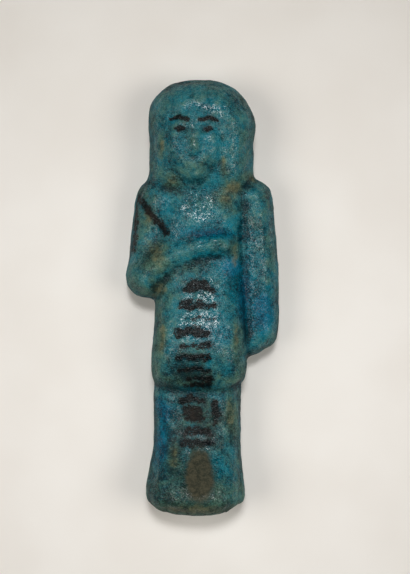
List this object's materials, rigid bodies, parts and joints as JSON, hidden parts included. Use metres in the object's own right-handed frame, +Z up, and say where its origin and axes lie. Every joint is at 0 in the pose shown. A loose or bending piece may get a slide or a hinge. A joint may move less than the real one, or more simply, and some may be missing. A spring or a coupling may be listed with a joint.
{
  "type": "ushabti figurine",
  "caption": "Small moulded funerary figure of blue glazed faience in a plain wig and kilt, one forearm across the waist, lying on its flat back.",
  "frame": {"origin": "middle of the underside's bounding box, on the flat back", "axes": "+Y from the soles to the crown, +X to the figure's left side, +Z up from the flat back through the face"},
  "size_m": [0.0394, 0.11, 0.0218],
  "materials": {
    "faience": "blue-green glaze over a gritty body, glossy but rough, worn matte on the high places"
  },
  "bodies": {
    "root": {"ushabti": "faience"}
  },
  "joints": []
}
